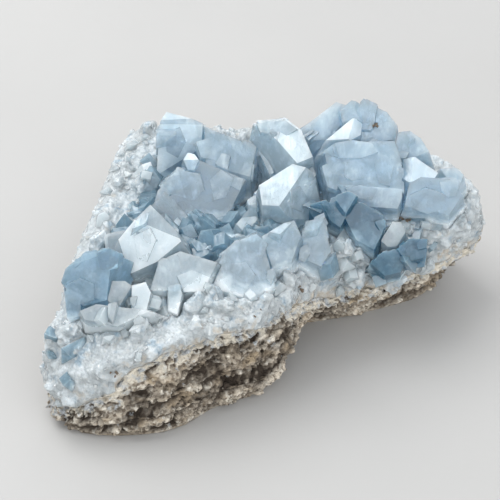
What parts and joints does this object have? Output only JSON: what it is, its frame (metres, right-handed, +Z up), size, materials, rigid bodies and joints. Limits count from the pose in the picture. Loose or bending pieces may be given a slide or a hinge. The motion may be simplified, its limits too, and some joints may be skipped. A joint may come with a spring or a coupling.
{
  "type": "celestite crystal cluster",
  "caption": "Pale blue celestite crystals standing in a white sugary crust on a broken slab of grey-beige rock with a flat underside.",
  "frame": {"origin": "the middle of the specimen's reach, on the surface it rests on", "axes": "+Z up, +X along the longest reach towards the right-hand wing, +Y away from the side that the picture shows"},
  "size_m": [0.0999, 0.0754, 0.0459],
  "materials": {
    "matrix": "rough broken marl, grains about a millimetre across, level bedding ledges",
    "crust": "sugary crust of small milky celestite crystals, glinting",
    "crystal": "milky translucent pale blue crystal, smooth glassy faces",
    "crystal_frost": "milky translucent crystal, nearly white, smooth glassy faces",
    "crystal_deep": "clearer and deeper blue crystal, smooth glassy faces"
  },
  "bodies": {
    "root": {"matrix_rock": "matrix", "druse_crust": "crust", "crystals_rear_left": "crystal", "crystals_left_fan": "crystal_frost", "crystals_left_block": "crystal_deep", "crystals_front_cluster": "crystal_frost", "crystal_front_prism": "crystal", "crystals_centre_front": "crystal", "crystals_centre_back": "crystal", "crystals_right_ridge": "crystal", "crystals_deep_blue": "crystal_deep", "crystal_pale_rod": "crystal_frost", "crystals_wing_dark": "crystal_deep"}
  },
  "joints": []
}
